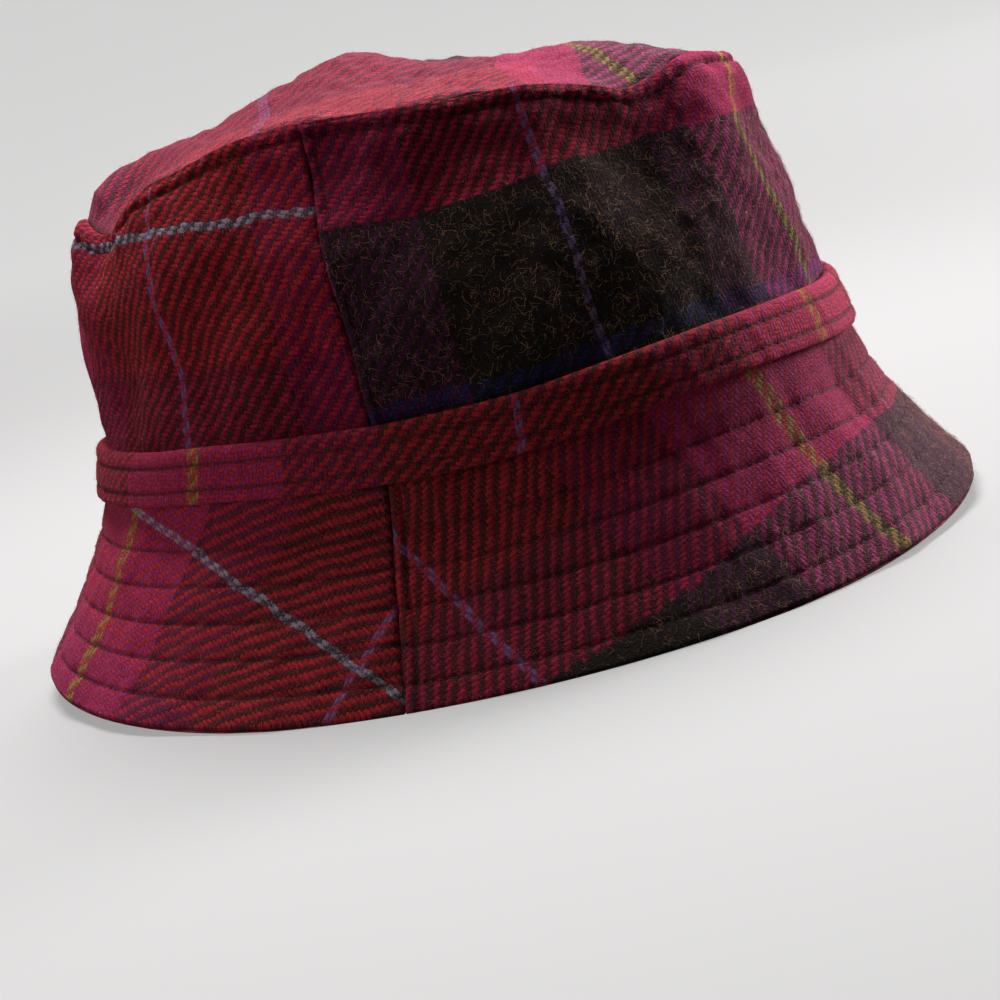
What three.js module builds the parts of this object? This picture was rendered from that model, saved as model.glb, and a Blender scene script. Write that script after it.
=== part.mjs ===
// Tweed bucket hat, modelled as it is sewn: an oval crown tip, two crown panels joined at the
// sides, a hat band over the head seam, and a brim of two halves with a facing under each half.
// Millimetres, +Z up. The hat stands on its brim edge at z = 0, its front towards -Y.
import * as THREE from 'three';

// Cloth
const TWEED = 1.8;            // thickness of the crown and the upper brim cloth
const FACING = 1.2;           // thickness of the cloth that faces the underside of the brim
const PIECE_GAP = 0.3;        // space left between two pieces that are sewn together
const FACING_START = 0.03;    // the facing stops this share of a row above the brim edge

// Sections of the outside of the hat from the brim edge up to the tip seam.
// height is above the surface it stands on, halfWidth runs across the head, halfLength from
// front to back, and back moves the section's middle towards the back of the head.
const SECTIONS = [
  { name: 'brimEdge',  height: 2.0,   halfWidth: 107.3, halfLength: 125.1, back: 0.0 },
  { name: 'brimBelly', height: 26.1,  halfWidth: 94.0,  halfLength: 109.6, back: -0.7 },
  { name: 'headSeam',  height: 50.0,  halfWidth: 84.8,  halfLength: 98.8,  back: -2.3 },
  { name: 'crownLow',  height: 74.1,  halfWidth: 84.4,  halfLength: 93.9,  back: -2.1 },
  { name: 'crownHigh', height: 98.0,  halfWidth: 79.7,  halfLength: 92.0,  back: -0.1 },
  { name: 'tipSeam',   height: 118.5, halfWidth: 70.2,  halfLength: 83.8,  back: 1.1 },
];
const HEAD_SEAM = 2;          // row of the head seam in the table above
const TIP_SEAM = 5;           // row of the tip seam

// Slow waves of an edge: how many crests go round the hat, how high one rises above the mean,
// and the angle of a crest. Angles: 90 is the back of the head, 180 its right side, 270 the front.
const BRIM_WAVES = [
  { crests: 2, rise: 3.6, angle: 107 },
  { crests: 3, rise: 1.2, angle: 79 },
];
const HEAD_WAVES = [
  { crests: 1, rise: 0.6, angle: 270 },
  { crests: 4, rise: 0.9, angle: 45 },
  { crests: 5, rise: 0.8, angle: 18 },
];
const TIP_WAVES = [
  { crests: 1, rise: 7.4, angle: 226 },
  { crests: 2, rise: 6.3, angle: 179 },
  { crests: 3, rise: 2.7, angle: 51 },
  { crests: 4, rise: 0.9, angle: 72 },
];

// Short folds of the two seams: angle, how far the seam rises there, and how far it spreads.
const HEAD_FOLDS = [
  { name: 'backDip',  angle: 78,  rise: -3.6, spread: 20 },
  { name: 'frontDip', angle: 294, rise: -2.6, spread: 18 },
];
const TIP_FOLDS = [
  { name: 'backCorner',  angle: 110, rise: 11.3, spread: 12 },
  { name: 'sideRipple',  angle: 145, rise: 1.0,  spread: 8 },
  { name: 'sideCrest',   angle: 219, rise: 3.8,  spread: 15 },
  { name: 'frontDent',   angle: 237, rise: -1.5, spread: 6 },
  { name: 'frontCorner', angle: 257, rise: 5.0,  spread: 13 },
];

// Soft hollows and swellings of the crown wall: where it lies (angle, height), how far it moves
// the cloth out, and how far it spreads round the head (degrees) and up the wall.
const WALL_FOLDS = [
  { name: 'backHollow',  angle: 131, height: 84,  out: -3.4, around: 12, up: 20 },
  { name: 'backSwell',   angle: 104, height: 80,  out: 0.6,  around: 14, up: 16 },
  { name: 'backTuck',    angle: 100, height: 60,  out: -1.4, around: 18, up: 7 },
  { name: 'sideHollow',  angle: 190, height: 106, out: -1.4, around: 12, up: 10 },
  { name: 'sideSwell',   angle: 200, height: 76,  out: 1.2,  around: 24, up: 20 },
  { name: 'frontHollow', angle: 227, height: 99,  out: -4.0, around: 12, up: 15 },
  { name: 'frontFold',   angle: 248, height: 104, out: 2.2,  around: 9,  up: 12 },
  { name: 'frontSwell',  angle: 272, height: 113, out: 4.2,  around: 19, up: 9 },
];

// The crown tip rises to a low dome, with soft mounds where the cloth is full.
const DOME_HEIGHT = 133;
const DOME_FULLNESS = 3.2;    // a higher power keeps the dome flat further out
const MOUNDS = [
  { name: 'middle', x: 10, y: 14,  rise: 9.4, spread: 23 },
  { name: 'back',   x: 1,  y: 63,  rise: 2.9, spread: 27 },
  { name: 'front',  x: 0,  y: -50, rise: 1.2, spread: 20 },
];
const MOUND_FADE = 0.25;      // mounds fade out over this outer share of the tip

// Hat band: one strip with folded edges laid over the head seam, leaning in with the crown.
const BAND = { height: 13.4, thickness: 2.6, standOff: 0.7, edgeRadius: 1.1 };

// Mesh steps
const STEP_ANGLE = 5;         // degrees between two columns of a wall
const BRIM_ROWS = 5;
const CROWN_ROWS = 8;
const TIP_RINGS = 7;

const COLOURS = {
  crown: 0x6b1a2c,
  tip: 0x9c2740,
  band: 0x8e1f36,
  brim: 0x741a30,
  facing: 0x8a1d33,
};

const rad = THREE.MathUtils.degToRad;

// Difference of two angles in degrees, from -180 to 180
function turnBetween(a, b) {
  return THREE.MathUtils.euclideanModulo(a - b + 180, 360) - 180;
}

function bell(distance, spread) {
  return Math.exp(-((distance / spread) ** 2));
}

function sumOf(rows, value) {
  return rows.reduce((sum, row) => sum + value(row), 0);
}

function edgeWave(waves, angle) {
  return sumOf(waves, (wave) => wave.rise * Math.cos(rad(wave.crests * (angle - wave.angle))));
}

// How far a seam lies above its mean height at an angle
function seamRise(waves, folds, angle) {
  const foldRise = sumOf(folds, (fold) => fold.rise * bell(turnBetween(angle, fold.angle), fold.spread));
  return edgeWave(waves, angle) + foldRise;
}

// Smooth curve through one column of the section table; row may lie between two rows.
function sectionValue(row, key) {
  const last = SECTIONS.length - 1;
  const index = Math.min(Math.floor(row), last - 1);
  const t = row - index;
  const at = (i) => SECTIONS[i][key];
  const p1 = at(index);
  const p2 = at(index + 1);
  const p0 = index > 0 ? at(index - 1) : 2 * p1 - p2;
  const p3 = index + 2 <= last ? at(index + 2) : 2 * p2 - p1;
  const square = 2 * p0 - 5 * p1 + 4 * p2 - p3;
  const cube = 3 * p1 - p0 - 3 * p2 + p3;
  return 0.5 * (2 * p1 + (p2 - p0) * t + square * t * t + cube * t * t * t);
}

// A point of the wall, from the brim edge (row 0) to the tip seam (row 5), moved in by inset.
function wallPoint(row, angle, inset) {
  const brimShare = Math.max(0, 1 - row / HEAD_SEAM);
  const crownShare = Math.max(0, (row - HEAD_SEAM) / (TIP_SEAM - HEAD_SEAM));
  const headShare = row < HEAD_SEAM ? 1 - brimShare : 1 - crownShare;
  const plainHeight = sectionValue(row, 'height');
  const rise = edgeWave(BRIM_WAVES, angle) * brimShare
    + seamRise(HEAD_WAVES, HEAD_FOLDS, angle) * headShare
    + seamRise(TIP_WAVES, TIP_FOLDS, angle) * crownShare ** 2;
  const foldShare = Math.min(1, 4 * crownShare);
  const out = foldShare * sumOf(WALL_FOLDS, (fold) => (
    fold.out * bell(turnBetween(angle, fold.angle), fold.around) * bell(plainHeight - fold.height, fold.up)));
  const x = (sectionValue(row, 'halfWidth') + out - inset) * Math.cos(rad(angle));
  const y = (sectionValue(row, 'halfLength') + out - inset) * Math.sin(rad(angle));
  return new THREE.Vector3(x, y + sectionValue(row, 'back'), Math.max(0, plainHeight + rise));
}

// A point of the crown tip: share 0 is its middle and 1 the tip seam.
function tipPoint(share, angle, drop) {
  const rim = wallPoint(TIP_SEAM, angle, 0);
  const middle = sectionValue(TIP_SEAM, 'back');
  const x = rim.x * share;
  const y = middle + (rim.y - middle) * share;
  const fade = THREE.MathUtils.clamp((1 - share) / MOUND_FADE, 0, 1);
  const mounds = sumOf(MOUNDS, (mound) => (
    mound.rise * bell(Math.hypot(x - mound.x, y - mound.y), mound.spread)
  ));
  const dome = THREE.MathUtils.lerp(DOME_HEIGHT, rim.z, share ** DOME_FULLNESS);
  return new THREE.Vector3(x, y, dome + mounds * fade - drop);
}

// Closes a grid of points into one solid. grid[i][j] walks round the section with j (the last
// point meets the first) and along the piece with i; a ring also joins its last i to its first.
function closedSolid(grid, isRing) {
  const points = grid.flat();
  const round = grid[0].length;
  const along = grid.length;
  const faces = [];
  const spans = isRing ? along : along - 1;
  for (let i = 0; i < spans; i += 1) {
    for (let j = 0; j < round; j += 1) {
      const a = i * round + j;
      const b = i * round + (j + 1) % round;
      const c = ((i + 1) % along) * round + (j + 1) % round;
      const d = ((i + 1) % along) * round + j;
      faces.push(a, b, c, a, c, d);
    }
  }
  return { points, faces, round, along };
}

function geometryOf(points, faces) {
  const geometry = new THREE.BufferGeometry();
  geometry.setFromPoints(points);
  geometry.setIndex(faces);
  geometry.computeVertexNormals();
  return geometry;
}

function clothMesh(name, geometry, color) {
  const material = new THREE.MeshStandardMaterial({ color, roughness: 0.95, metalness: 0 });
  const mesh = new THREE.Mesh(geometry, material);
  mesh.name = name;
  return mesh;
}

// The rows of a wall between two places of the section table
function rowsBetween(from, to, count) {
  return Array.from({ length: count + 1 }, (_, i) => from + (to - from) * i / count);
}

// Half of a wall, from one side seam to the other, as a shell of even thickness.
// lift(row) raises a row's points, for an edge that stops short of its neighbour, and no point
// lies under floor.
function wallHalf(name, color, { fromAngle, rows, outer, inner, lift = () => 0, floor = 0 }) {
  const seamAngle = THREE.MathUtils.radToDeg(PIECE_GAP / 2 / sectionValue(HEAD_SEAM, 'halfWidth'));
  const columns = Math.round(180 / STEP_ANGLE);
  const grid = [];
  for (let i = 0; i <= columns; i += 1) {
    const angle = fromAngle + THREE.MathUtils.clamp(i * STEP_ANGLE, seamAngle, 180 - seamAngle);
    const place = (row, inset) => {
      const point = wallPoint(row, angle, inset);
      point.z = Math.max(point.z + lift(row), floor);
      return point;
    };
    const outside = rows.map((row) => place(row, outer));
    const inside = rows.map((row) => place(row, inner)).reverse();
    grid.push([...outside, ...inside]);
  }
  const { points, faces, round, along } = closedSolid(grid, false);
  const rowCount = rows.length;
  for (let j = 0; j < rowCount - 1; j += 1) {        // the two ends at the side seams
    const mate = round - 1 - j;
    faces.push(j, mate, mate - 1, j, mate - 1, j + 1);
    const end = (along - 1) * round;
    faces.push(end + j, end + mate - 1, end + mate, end + j, end + j + 1, end + mate - 1);
  }
  faces.reverse();                                   // faces were laid inside out
  return clothMesh(name, geometryOf(points, faces), color);
}

function makeBrim() {
  const upper = { rows: rowsBetween(0, HEAD_SEAM, BRIM_ROWS), outer: 0, inner: TWEED };
  const facingOuter = TWEED + PIECE_GAP;
  const facingRows = upper.rows.with(0, FACING_START);
  const lower = { rows: facingRows, outer: facingOuter, inner: facingOuter + FACING, floor: PIECE_GAP };
  return [
    wallHalf('brim_back', COLOURS.brim, { fromAngle: 0, ...upper }),
    wallHalf('brim_front', COLOURS.brim, { fromAngle: 180, ...upper }),
    wallHalf('under_brim_back', COLOURS.facing, { fromAngle: 0, ...lower }),
    wallHalf('under_brim_front', COLOURS.facing, { fromAngle: 180, ...lower }),
  ];
}

function makeCrownWall() {
  const rows = rowsBetween(HEAD_SEAM, TIP_SEAM, CROWN_ROWS);
  const tipRoom = TWEED + PIECE_GAP;                 // the tip's edge lies over the wall's top
  const lift = (row) => {
    if (row === HEAD_SEAM) return PIECE_GAP;
    return row === TIP_SEAM ? -tipRoom : 0;
  };
  const cloth = { rows, outer: 0, inner: TWEED, lift };
  return [
    wallHalf('crown_back', COLOURS.crown, { fromAngle: 0, ...cloth }),
    wallHalf('crown_front', COLOURS.crown, { fromAngle: 180, ...cloth }),
  ];
}

function makeCrownTip() {
  const columns = 360 / STEP_ANGLE;
  const points = [tipPoint(0, 0, 0), tipPoint(0, 0, TWEED)];
  const faces = [];
  const at = (side, ring, column) => 2 + (side * TIP_RINGS + ring - 1) * columns + (column % columns);
  for (const drop of [0, TWEED]) {
    for (let ring = 1; ring <= TIP_RINGS; ring += 1) {
      for (let column = 0; column < columns; column += 1) {
        points.push(tipPoint(ring / TIP_RINGS, column * STEP_ANGLE, drop));
      }
    }
  }
  for (let column = 0; column < columns; column += 1) {
    faces.push(0, at(0, 1, column), at(0, 1, column + 1));
    faces.push(1, at(1, 1, column + 1), at(1, 1, column));
    for (let ring = 1; ring < TIP_RINGS; ring += 1) {
      const corners = (side) => [
        at(side, ring, column),
        at(side, ring + 1, column),
        at(side, ring + 1, column + 1),
        at(side, ring, column + 1),
      ];
      const top = corners(0);
      const under = corners(1).reverse();
      for (const [a, b, c, d] of [top, under]) faces.push(a, b, c, a, c, d);
    }
    const a = at(0, TIP_RINGS, column);
    const b = at(1, TIP_RINGS, column);
    const c = at(1, TIP_RINGS, column + 1);
    const d = at(0, TIP_RINGS, column + 1);
    faces.push(a, b, c, a, c, d);                    // the cut edge of the tip
  }
  return clothMesh('crown_tip', geometryOf(points, faces), COLOURS.tip);
}

// The band's section is a flat strip with rounded folded edges, swept round the head seam so that
// it keeps to the crown wall.
function makeBand() {
  const { height, thickness, standOff, edgeRadius } = BAND;
  const section = [                                  // [away from the wall, height], outside first
    [0, 0], [thickness - edgeRadius, 0], [thickness, edgeRadius], [thickness, height / 2],
    [thickness, height - edgeRadius], [thickness - edgeRadius, height], [0, height], [0, height / 2],
  ];
  const rowHeight = SECTIONS[HEAD_SEAM + 1].height - SECTIONS[HEAD_SEAM].height;
  const grid = [];
  for (let angle = 0; angle < 360; angle += STEP_ANGLE) {
    grid.push(section.map(([away, up]) => wallPoint(HEAD_SEAM + up / rowHeight, angle, -standOff - away)));
  }
  const { points, faces } = closedSolid(grid, true);
  faces.reverse();
  return clothMesh('band', geometryOf(points, faces), COLOURS.band);
}

const hat = new THREE.Group();
hat.name = 'tweed_bucket_hat';
hat.add(makeCrownTip(), ...makeCrownWall(), makeBand(), ...makeBrim());

export default hat;
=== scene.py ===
import math

import bpy
import numpy as np
from mathutils import Matrix, Vector


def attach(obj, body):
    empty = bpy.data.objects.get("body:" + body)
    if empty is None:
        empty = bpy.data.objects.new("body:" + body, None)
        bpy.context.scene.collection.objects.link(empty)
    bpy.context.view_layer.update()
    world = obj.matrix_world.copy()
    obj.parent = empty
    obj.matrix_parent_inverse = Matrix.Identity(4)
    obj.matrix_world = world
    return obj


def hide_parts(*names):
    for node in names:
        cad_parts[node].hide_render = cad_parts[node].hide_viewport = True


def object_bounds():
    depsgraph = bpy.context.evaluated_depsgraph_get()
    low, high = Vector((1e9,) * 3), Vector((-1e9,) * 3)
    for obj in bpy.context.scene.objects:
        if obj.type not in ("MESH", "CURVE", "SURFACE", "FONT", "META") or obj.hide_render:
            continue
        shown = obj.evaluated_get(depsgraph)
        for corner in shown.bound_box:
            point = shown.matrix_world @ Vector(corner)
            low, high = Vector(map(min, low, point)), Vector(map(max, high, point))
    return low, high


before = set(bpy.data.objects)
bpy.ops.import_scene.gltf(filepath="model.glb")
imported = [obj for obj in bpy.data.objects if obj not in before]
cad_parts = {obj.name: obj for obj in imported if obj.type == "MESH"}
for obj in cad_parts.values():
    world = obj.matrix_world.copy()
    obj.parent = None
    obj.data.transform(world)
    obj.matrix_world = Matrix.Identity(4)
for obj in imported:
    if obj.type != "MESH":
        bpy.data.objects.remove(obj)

mm = 0.001                              # the tables below are in millimetres
cadLow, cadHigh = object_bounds()

frontHalf, backHalf = 270, 90           # angle of each half's middle; 180 is the right side
clothThickness = 1.8
seamGap = 0.15                          # half the room left between two sewn pieces
floorGap = 0.02                         # the least height of anything over the floor

hat = {
    # height, half width across the head, half length front to back, how far the middle sits back
    "sections": np.array([
        (2.0, cadHigh.x / mm, cadHigh.y / mm, 0.0),                        # brim edge
        (26.1, 94.0, 109.6, -0.7),                                         # belly of the brim
        (50.0, 84.8, 98.8, -2.3),                                          # head seam
        (74.1, 84.4, 93.9, -2.1),                                          # low crown
        (98.0, 79.7, 92.0, -0.1),                                          # high crown
        (118.5, 70.2, 83.8, 1.1),                                          # tip seam
    ]),
    "headSeam": 2,                      # rows of the two seams in the list above
    "tipSeam": 5,
    # crests round the hat, rise, angle of a crest
    "brimWaves": [(2, 3.6, 107), (3, 1.2, 79)],
    "headWaves": [(1, 0.6, 270), (4, 0.9, 45), (5, 0.8, 18)],
    "tipWaves": [(1, 7.4, 226), (2, 6.3, 179), (3, 2.7, 51), (4, 0.9, 72)],
    # angle, rise, spread of the short folds of each seam
    "headFolds": [(78, -3.6, 20), (294, -2.6, 18)],
    "tipFolds": [(110, 11.3, 12), (145, 1.0, 8), (219, 3.8, 15), (237, -1.5, 6), (257, 5.0, 13)],
    # angle, height, how far out, spread round the head in degrees, spread up the wall
    "wallFolds": [(131, 84, -3.4, 12, 20), (104, 80, 0.6, 14, 16), (100, 60, -1.4, 18, 7),
                  (190, 106, -1.4, 12, 10), (200, 76, 1.2, 24, 20), (207, 109, -1.8, 14, 7),
                  (222, 96, -2.6, 18, 20), (236, 97, -3.4, 9, 17), (250, 100, 3.0, 8, 15),
                  (272, 113, 4.2, 19, 9)],
    "domeHeight": 133,
    "domeFullness": 3.2,
    "mounds": [(10, 14, 9.4, 23), (1, 63, 2.9, 27), (0, -50, 1.2, 20)],    # x, y, rise, spread
    "moundFade": 0.25,
}


def bell(distance, spread):
    return np.exp(-(distance / spread) ** 2)


def turnBetween(first, second):
    return (first - second + 180) % 360 - 180


def edgeWave(waves, angle):
    return sum(rise * np.cos(np.radians(crests * (angle - crest))) for crests, rise, crest in waves)


def seamRise(seam, angle):
    folds = sum(rise * bell(turnBetween(angle, at), spread) for at, rise, spread in hat[seam + "Folds"])
    return edgeWave(hat[seam + "Waves"], angle) + folds


# smooth curve through the section list; row may lie between two sections
def sectionAt(row):
    table = hat["sections"]
    padded = np.vstack([2 * table[0] - table[1], table, 2 * table[-1] - table[-2]])
    index = np.clip(np.floor(row).astype(int), 0, len(table) - 2)
    t = (row - index)[..., None]
    before, start, end, after = (padded[index + step] for step in range(4))
    square = 2 * before - 5 * start + 4 * end - after
    cube = 3 * start - before - 3 * end + after
    value = 0.5 * (2 * start + (end - before) * t + square * t ** 2 + cube * t ** 3)
    return np.moveaxis(value, -1, 0)


# a point of the wall, from the brim edge (row 0) over the head seam to the tip seam, moved out a little
def wallPoint(row, angle, moved=0.0):
    row, angle = np.broadcast_arrays(np.asarray(row, float), np.asarray(angle, float))
    headSeam, tipSeam = hat["headSeam"], hat["tipSeam"]
    height, halfWidth, halfLength, back = sectionAt(row)
    brimShare = np.clip(1 - row / headSeam, 0, None)
    crownShare = np.clip((row - headSeam) / (tipSeam - headSeam), 0, None)
    headShare = np.where(row < headSeam, 1 - brimShare, 1 - crownShare)
    rise = edgeWave(hat["brimWaves"], angle) * brimShare + seamRise("head", angle) * headShare
    rise = rise + seamRise("tip", angle) * crownShare ** 2
    out = sum(push * bell(turnBetween(angle, at), around) * bell(height - level, up)
              for at, level, push, around, up in hat["wallFolds"])
    out = out * np.clip(4 * crownShare, 0, 1) + moved               # the folds fade out at the head seam
    turn = np.radians(angle)
    x = (halfWidth + out) * np.cos(turn)
    y = (halfLength + out) * np.sin(turn) + back
    return np.stack([x, y, height + rise], axis=-1)


# a point of the crown tip: share 0 is its middle and 1 the tip seam
def tipPoint(share, angle):
    share, angle = np.broadcast_arrays(np.asarray(share, float), np.asarray(angle, float))
    rim = wallPoint(hat["tipSeam"], angle)
    middle = hat["sections"][-1][3]
    x = rim[..., 0] * share
    y = middle + (rim[..., 1] - middle) * share
    fade = np.clip((1 - share) / hat["moundFade"], 0, 1)
    mounds = sum(rise * bell(np.hypot(x - atX, y - atY), spread)
                 for atX, atY, rise, spread in hat["mounds"])
    top = hat["domeHeight"]
    dome = top + (rim[..., 2] - top) * np.abs(share) ** hat["domeFullness"]
    return np.stack([x, y, dome + mounds * fade], axis=-1)


def unit(vectors):
    return vectors / np.linalg.norm(vectors, axis=-1, keepdims=True)


# outward normals of a grid whose first axis walks round the hat and second axis goes up
def gridNormals(points, wraps=False):
    if wraps:
        across = np.roll(points, -1, axis=0) - np.roll(points, 1, axis=0)
    else:
        across = np.gradient(points, axis=0)
    return unit(np.cross(across, np.gradient(points, axis=1)))


def runLength(points):
    steps = np.linalg.norm(np.diff(points, axis=0), axis=-1)
    return np.concatenate([[0.0], np.cumsum(steps)])


# rises along a line or an edge, each given as (rise, place, spread)
def risesAt(distance, rises):
    return sum(rise * bell(distance - at, spread) for rise, at, spread in rises)


# smooth irregular swells, the same each run; a stretch below 1 makes them longer along the cloth
def swells(cloth, start, seed, height, length, stretch=1.0, waves=16):
    chance = np.random.default_rng(start + seed)
    across, along = cloth[..., 0], stretch * cloth[..., 1]
    total = 0.0
    for _ in range(waves):
        heading, phase = chance.uniform(0, 2 * np.pi, 2)
        pitch = 2 * np.pi / (length * chance.uniform(0.7, 1.5))
        total = total + np.sin(pitch * (across * np.cos(heading) + along * np.sin(heading)) + phase)
    return height * (total * math.sqrt(2 / waves))


# the plaid's repeat
sett = {
    "warpPitch": 1.08,
    "pickPitch": 1.08,
    # how far each stripe reaches across the cloth, and its colour; the last is a full repeat
    "warp": [(1.1, "lavender"), (35.5, "charcoal"), (60.5, "purple"), (86.9, "pink"), (90.1, "gold"),
             (116.5, "pink"), (143.5, "purple"), (175.4, "plum"), (178.6, "lavender"), (210.5, "plum"),
             (237.5, "purple"), (263.9, "pink"), (267.1, "gold"), (293.5, "pink"), (318.5, "purple"),
             (351.8, "charcoal"), (354.0, "lavender")],
    "weft": [(1.1, "silver"), (34.5, "scarlet"), (60.0, "crimson"), (100.7, "olive"), (105.1, "navy"),
             (146.0, "olive"), (171.5, "crimson"), (203.8, "scarlet"), (206.0, "silver")],
    # wool colours, as seen in plain daylight
    "wool": {
        "lavender": (92, 73, 116), "charcoal": (24, 20, 19), "purple": (66, 18, 52),
        "pink": (142, 31, 90), "gold": (136, 112, 56), "plum": (84, 20, 50),
        "silver": (166, 142, 158), "scarlet": (172, 28, 37), "crimson": (152, 22, 50),
        "olive": (24, 19, 14), "navy": (32, 36, 76),
    },
    "golden": (132, 88, 42),            # loose fibres of the olive yarn
    "hairy": {"olive": 1.0, "navy": 0.5},
}


def linearColour(colour, gain=1.0):
    shares = [c / 255 for c in colour]
    return tuple(gain * (c / 12.92 if c <= 0.04045 else ((c + 0.055) / 1.055) ** 2.4) for c in shares)


def solidColour(colour, gain=1.0):
    return (*linearColour(colour, gain), 1.0)


def stripeAt(stripes, place):
    return np.searchsorted(np.array([reach for reach, _ in stripes]), place % stripes[-1][0])


def isOliveCloth(cloth):
    olives = [place for place, (_, wool) in enumerate(sett["weft"]) if wool == "olive"]
    return np.isin(stripeAt(sett["weft"], cloth[..., 1]), olives)


def newObject(name, points, faces, material):
    mesh = bpy.data.meshes.new(name)
    mesh.from_pydata(points.reshape(-1, 3).tolist(), [], faces)
    mesh.materials.append(material)
    mesh.shade_smooth()
    piece = bpy.data.objects.new(name, mesh)
    bpy.context.scene.collection.objects.link(piece)
    return piece


def quadFaces(*corners):
    return np.stack(corners, axis=-1).reshape(-1, 4)


def signedVolume(points, quads):
    a, b, c, d = (points[quads[:, k]] for k in range(4))
    return np.einsum("ij,ij->", a, np.cross(b, c)) + np.einsum("ij,ij->", a, np.cross(c, d))


# one stretch of a shell's section: points, places on the cloth, shift of the stripes, crease (where shade is
# painted into the colour)
def stretchOf(points, cloth, shift=None, crease=None):
    shift = np.zeros_like(cloth) if shift is None else shift
    crease = np.zeros(points.shape[:2]) if crease is None else crease
    return points, cloth, shift, crease


# the inside of a shell, back from its last row or one before it, in fewer rows than outside
def insideStretch(grid, normals, cloth, shift, rows, fromEnd=1):
    coarse = np.linspace(grid.shape[1] - fromEnd, 0, rows).astype(int)
    inner = grid - normals * clothThickness
    return stretchOf(inner[:, coarse], cloth[:, coarse], shift[:, coarse])


# a closed cloth shell; the first axis of each stretch walks round the hat, the second round the
# section. The shift moves the stripes over the cloth without moving the yarns
def buildShell(name, material, stretches, wraps=False):
    points, cloth, shift, crease = (np.concatenate(values, axis=1) for values in zip(*stretches))
    points[..., 2] = np.maximum(points[..., 2], floorGap)
    index = np.arange(points.shape[0] * points.shape[1]).reshape(points.shape[:2])
    here = index if wraps else index[:-1]
    after = np.roll(index, -1, axis=0)[:len(here)]
    quads = quadFaces(here, after, np.roll(after, -1, axis=1), np.roll(here, -1, axis=1))
    ends = [] if wraps else [index[0].tolist(), index[-1][::-1].tolist()]
    piece = newObject(name, points * mm, quads.tolist() + ends, material)
    mesh = piece.data
    corners = np.zeros(len(mesh.loops), np.int32)
    mesh.loops.foreach_get("vertex_index", corners)
    for title, places in (("cloth", cloth), ("stripeShift", shift)):
        layer = mesh.uv_layers.new(name=title)
        layer.data.foreach_set("uv", places.reshape(-1, 2)[corners].astype(np.float32).ravel())
    # the crease mask is painted shade: it only darkens the cloth's colour in seams, grooves and under the
    # tip's rim
    layer = mesh.attributes.new("crease", "FLOAT", "POINT")
    layer.data.foreach_set("value", crease.astype(np.float32).ravel())
    if signedVolume(points.reshape(-1, 3), quads) < 0:
        mesh.flip_normals()
    return piece


def placePiece(piece, slot, *nodes):
    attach(piece, "root")
    if nodes:
        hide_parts(*nodes)


# the two side seams, where the front and back halves meet
sideSeam = {
    "dip": 0.6, "dipWidth": 0.55, "creaseWidth": 0.6,
    "ridgeAt": 1.4, "ridgeWidth": 1.3,               # the seam allowance, turned to the front and stitched
    "stitchAt": 2.9, "stitchWidth": 0.5,
    "fine": 0.35, "plain": 0.95, "fineRun": 6,       # column spacing, and how far the fine ones reach
}


# angles of a half's columns, their places along the head seam from its middle, and its end there
def halfColumns(middle):
    angles = np.linspace(middle - 95, middle + 95, 1901)    # a little past both side seams
    arc = runLength(wallPoint(hat["headSeam"], angles)[:, :2])
    arc = arc - arc[len(arc) // 2]
    start, end = (np.interp(middle + turn, angles, arc) for turn in (-90, 90))
    total, fineRun = end - start - 2 * seamGap, sideSeam["fineRun"]
    ends = np.arange(0, fineRun, sideSeam["fine"])
    plainCount = int((total - 2 * fineRun) / sideSeam["plain"]) + 2
    steps = np.concatenate([ends, np.linspace(fineRun, total - fineRun, plainCount), total - ends[::-1]])
    steps = start + seamGap + steps
    return np.interp(steps, arc, angles), steps, end


# distance along the wall from its first row, for each column of angles
def columnRuns(rows, angles):
    steps = np.linalg.norm(np.diff(wallPoint(rows[None, :], angles[:, None]), axis=1), axis=-1)
    return np.concatenate([np.zeros((len(angles), 1)), np.cumsum(steps, axis=1)], axis=1)


def rowsAt(distances, runs, rows):
    return np.stack([np.interp(*column, rows) for column in zip(distances, runs)])


def sideSeamRelief(part, details):
    fromSeam = (part["half"] - seamGap - np.abs(part["arcs"]))[:, None]
    relief = -sideSeam["dip"] * bell(fromSeam, sideSeam["dipWidth"])
    # painted shade along the side seam and its stitches
    crease = details["seamCrease"] * bell(fromSeam, sideSeam["creaseWidth"])
    if part["middle"] == frontHalf:
        stitched = bell(fromSeam - sideSeam["stitchAt"], sideSeam["stitchWidth"])
        relief = relief + details["seamRise"] * bell(fromSeam - sideSeam["ridgeAt"], sideSeam["ridgeWidth"])
        relief = relief - details["seamSink"] * stitched
        crease = np.maximum(crease, details["seamCrease"] * stitched)
    return relief, crease


brim = {
    "guideRows": 41, "rowStep": 0.45,
    "flatRadius": 210.0,                             # of the head seam when a half is laid flat
    # where each half is cut from the cloth: across and along at the middle of its head seam
    "cut": {frontHalf: (141.0, -37.0), backHalf: (-152.0, -8.5)},
    "ease": 14, "easeArcs": (85, 135),               # cloth eased into the front half's ends
    "firstRow": 11.5, "rowSpacing": 8.75, "rows": 5,  # rows of topstitch, down from the head seam
    "grooveDepth": 0.3, "grooveWidth": 0.5, "grooveCrease": 0.48, "puff": 0.45,
    "swell": (11, 0.3, 28), "ripple": (5, 0.17, 7, 0.35),  # seed, height, length, stretch
    "rippleWidth": 2.2, "rippleBetween": 0.35,       # the ripples gather at the stitches
    "seamRise": 0.4, "seamSink": 0.45, "seamCrease": 0.4,
    "edgeLip": 0.4, "edgeSteps": 6,                  # how much of the facing shows under the edge
    "insideRows": 10,
}


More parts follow.
